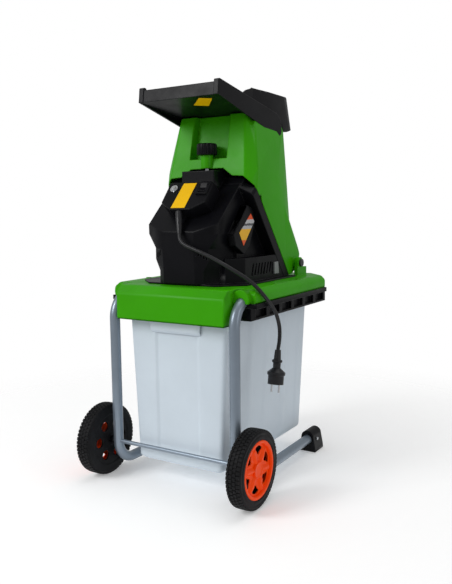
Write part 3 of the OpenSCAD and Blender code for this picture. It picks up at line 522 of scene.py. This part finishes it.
def make_cap_face(at, word):
    """Face of the cap with an opening like a rounded triangle between each two spokes."""
    n, rings = 64, 12
    first = math.radians(20)
    middle, reach = 37.2, 20.2
    lip = 1.3
    verts, faces = [], []
    for s in range(SPOKES):
        mid = SECTOR * s + first
        for j in range(n):
            a = 2 * math.pi * j / n
            ca, sa = math.cos(a), math.sin(a)
            m = max(abs(ca), abs(sa))
            outer_r, outer_t = middle + reach * ca / m, SECTOR / 2 * sa / m
            inner_r = 45.2 + 8.2 * ca * (1 if ca > 0 else 1.25)
            inner_t = math.radians(13.5) * sa * (1 - 0.22 * math.cos(3 * a)) * (1 + 0.32 * ca)
            for q in range(rings + 1):
                f = q / rings
                r = inner_r * (1 - f) + outer_r * f
                t = inner_t * (1 - f) + outer_t * f
                z = cap_depth(r, t) - (lip if q == 0 else 0)
                verts.append(at(r * math.cos(t + mid), r * math.sin(t + mid), z))
    k = rings + 1
    for s in range(SPOKES):
        for j in range(n):
            here = (s * n + j) * k
            after = (s * n + (j + 1) % n) * k
            for q in range(rings):
                faces.append((here + q, here + q + 1, after + q + 1, after + q))
    face = piece("cap_face_" + word, verts, faces, word + "_wheel", "orange_plastic", smooth=50)
    thick = face.modifiers.new("thick", "SOLIDIFY")
    thick.thickness = 0.003
    thick.offset = -1


def make_cap_middle(at, word):
    """Shallow dish over the axle's end."""
    shape = [(0.01, 35.6), (9, 35.7), (14.4, 35.9), (15.6, 36.6), (17.4, 36.5), (18.6, 34.6), (18.6, 31),
             (0.01, 31)]
    verts, faces = lathe(shape, 64, at)
    piece("cap_middle_" + word, verts, faces, word + "_wheel", "orange_plastic", smooth=35)


for side, word in ((1, "right"), (-1, "left")):
    for make in (make_tyre, make_tread, make_web, make_hub, make_cap_rim, make_cap_face, make_cap_middle):
        make(wheel_frame(side), word)


# ---------- locking knob ----------

KNOB_Y = -0.032
KNOB_RADIUS = 25
KNOB_RIBS = 18
BORE_RADIUS = 5


def make_knob():
    """Ribbed knob with a rounded crown and a shallow dish in its top."""
    steps = 216
    # Step in from the radius, and height, both in mm
    levels = [(-2.5, 797.0), (-0.8, 797.3), (0, 798.4), (0, 820.5), (-0.5, 822.8), (-1.8, 824.3), (-4, 825.0),
              (-7.5, 825.0), (-8.6, 824.2), (-9.4, 823.4)]
    verts, faces = [], []

    def point(r, a, z):
        return r * math.cos(a) / 1000, KNOB_Y + r * math.sin(a) / 1000, z / 1000

    for step_in, z in levels:
        for i in range(steps):
            a = 2 * math.pi * i / steps
            groove = 1.7 * max(0.0, math.cos(KNOB_RIBS * a)) ** 0.6 if step_in > -6 else 0
            verts.append(point(KNOB_RADIUS + step_in - groove, a, z))
    for k in range(len(levels) - 1):
        for i in range(steps):
            j = (i + 1) % steps
            faces.append((k * steps + i, k * steps + j, (k + 1) * steps + j, (k + 1) * steps + i))
    faces.append(tuple((len(levels) - 1) * steps + i for i in range(steps)))
    inner = len(verts)
    for z in (797.0, 816.0):
        for i in range(steps):
            verts.append(point(BORE_RADIUS, 2 * math.pi * i / steps, z))
    for i in range(steps):
        j = (i + 1) % steps
        faces.append((i, j, inner + j, inner + i))
        faces.append((inner + i, inner + j, inner + steps + j, inner + steps + i))
    faces.append(tuple(inner + steps + i for i in range(steps)))
    knob = piece("knob", verts, faces, "knob", "black_plastic", smooth=50)
    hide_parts("locking_knob")


make_knob()


# ---------- bin ----------

BIN_FRONT_PANELS = [(-62, 63)]
BIN_SIDE_PANELS = [(-128, -62), (-44, 20), (40, 118), (138, 208)]
BIN_CORNER = 11


def dent(v, panels, deep):
    """Depth of the recessed panels at a place v along a wall."""
    share = 0
    for a, b in panels:
        share = max(share, min(1.0, max(0.0, (v - a) / 5)) * min(1.0, max(0.0, (b - v) / 5)))
    return share * deep


def bin_outline(z, inward):
    """Outline of the tub at a height, moved inward by a distance; all in mm."""
    f = max(0.0, min(1.0, (z - 59) / 381))
    foot = max(0.0, (59 - z) / 10) ** 1.6 * 9
    half = 122 + 18.5 * f - inward - foot
    front = -176 - f + inward + foot
    back = 246 + 5 * f - inward - foot
    fade = max(0.0, min(1.0, (z - 70) / 18)) * max(0.0, min(1.0, (428 - z) / 18))
    r = BIN_CORNER
    pts = []

    def between(a, b):
        steps = 84
        return [a + (b - a) * i / steps for i in range(steps + 1)]

    def corner(x, y, start):
        for k in range(1, 6):
            a = math.radians(start + 15 * k)
            pts.append((x + r * math.cos(a), y + r * math.sin(a)))

    pts += [(x, front + dent(x, BIN_FRONT_PANELS, 3.2) * fade) for x in between(-half + r, half - r)]
    corner(half - r, front + r, -90)
    pts += [(half - dent(y, BIN_SIDE_PANELS, 2.4) * fade, y) for y in between(front + r, back - r)]
    corner(half - r, back - r, 0)
    pts += [(x, back - dent(x, BIN_FRONT_PANELS, 3.2) * fade) for x in between(half - r, -half + r)]
    corner(-half + r, back - r, 90)
    pts += [(-half + dent(y, BIN_SIDE_PANELS, 2.4) * fade, y) for y in between(back - r, front + r)]
    corner(-half + r, front + r, 180)
    return pts


def rim_outline(grow):
    """Outline of the rolled rim, grown from the top of the tub."""
    middle_y = 36.5
    out = []
    for x, y in bin_outline(440, 0):
        out.append((x + math.copysign(grow, x) * min(1, abs(x) / 120),
                    y + math.copysign(grow, y - middle_y) * min(1, abs(y - middle_y) / 190)))
    return out


def make_tub():
    """Thin tapered tub with recessed panels and a rolled rim."""
    rings = []

    def add(outline, z):
        rings.append([(x, y, z) for x, y in outline])

    for z in (49, 50, 52, 55, 59, 66, 74, 90, 150, 220, 290, 350, 400, 412, 430, 434):
        add(bin_outline(z, 0), z)
    for grow, z in ((5.8, 434.1), (6.4, 434.6), (6.4, 437.4), (5.8, 438)):
        add(rim_outline(grow), z)
    for z in (438, 439.6):
        add(bin_outline(z, 0), z)
    add(bin_outline(440, 0.7), 440)
    # Inner wall, down to the floor of the tub
    for z in (440, 430, 412, 350, 220, 90, 60, 54, 52):
        add(bin_outline(z, 2.4), z)
    n = len(rings[0])
    verts = [(x / 1000, y / 1000, z / 1000) for ring in rings for x, y, z in ring]
    faces = []
    for k in range(len(rings) - 1):
        for i in range(n):
            j = (i + 1) % n
            faces.append((k * n + i, k * n + j, (k + 1) * n + j, (k + 1) * n + i))
    faces.append(tuple(range(n - 1, -1, -1)))
    faces.append(tuple((len(rings) - 1) * n + i for i in range(n)))
    tub = piece("bin_tub", verts, faces, "bin", "frosted_plastic", smooth=35)
    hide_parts("collection_bin")


def make_grip(name, side, wall, edge):
    """Grip under the rim, from the wall of the tub out to its edge."""
    shape = [(wall, 433.9), (edge, 433.9), (edge, 388), (edge - side * 1.2, 382), (edge - side * 4, 377.5),
             (wall, 372), (wall, 376), (edge - side * 6, 381), (edge - side * 3.4, 386),
             (edge - side * 2.6, 431.5), (wall, 431.5)]
    steps = 20
    m = len(shape)
    verts, faces = [], []
    for i in range(steps + 1):
        u = -1 + 2 * i / steps
        pull = 1 - max(0, abs(u) - 0.93) / 0.07 * 0.35
        for y, z in shape:
            half = 79 if z > 430 else 79 - (434 - z) * 0.16
            verts.append((half * u / 1000, (wall + (y - wall) * pull) / 1000, z / 1000))
    for i in range(steps):
        for k in range(m):
            l = (k + 1) % m
            faces.append((i * m + k, i * m + l, (i + 1) * m + l, (i + 1) * m + k))
    faces.append(tuple(range(m)))
    faces.append(tuple(steps * m + k for k in range(m - 1, -1, -1)))
    piece(name, verts, faces, "bin", "frosted_plastic", smooth=35)


make_tub()
make_grip("bin_grip_front", -1, -176.5, -187.8)
make_grip("bin_grip_back", 1, 250.5, 260.8)


# ---------- moulded parts with rounded edges ----------

SHARP = 24


def refined(node, width, min_len):
    """New piece from a CAD mesh, with its long sharp edges rounded and its short ones kept."""
    src = nodes[node]
    obj = bpy.data.objects.new(node + "_moulded", src.data.copy())
    obj.matrix_world = src.matrix_world
    scene.collection.objects.link(obj)
    bm = bmesh.new()
    bm.from_mesh(obj.data)
    bmesh.ops.remove_doubles(bm, verts=bm.verts, dist=2e-6)
    bmesh.ops.dissolve_limit(bm, angle_limit=math.radians(0.6), verts=bm.verts, edges=bm.edges)
    weights = bm.edges.layers.float
    layer = weights.get("bevel_weight_edge") or weights.new("bevel_weight_edge")
    for f in bm.faces:
        f.smooth = True
    for e in bm.edges:
        if len(e.link_faces) != 2:
            continue
        if math.degrees(e.calc_face_angle(0)) <= SHARP:
            continue
        if e.calc_length() > min_len and e.is_convex:
            e[layer] = 1.0
        else:
            e.smooth = False
    bm.to_mesh(obj.data)
    bm.free()
    mod = obj.modifiers.new("edges", "BEVEL")
    mod.limit_method = "WEIGHT"
    mod.width = width
    mod.segments = 3
    mod.use_clamp_overlap = False
    mod.harden_normals = False
    even = obj.modifiers.new("even", "WEIGHTED_NORMAL")
    even.keep_sharp = True
    even.weight = 80
    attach(obj, body_of[node])
    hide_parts(node)


# Node, width of the rounding and shortest edge that gets it, in metres
for name, width, min_len in (
        ("base_cover", 0.004, 0.03), ("hopper_housing", 0.004, 0.05), ("motor_housing", 0.0016, 0.03),
        ("control_panel", 0.0022, 0.02), ("side_panel_left", 0.0018, 0.015),
        ("side_panel_right", 0.0018, 0.015), ("foot_left", 0.003, 0.02), ("foot_right", 0.003, 0.02),
        ("base_skirt", 0.001, 0.03), ("hopper_top", 0.0012, 0.02)):
    refined(name, width, min_len)
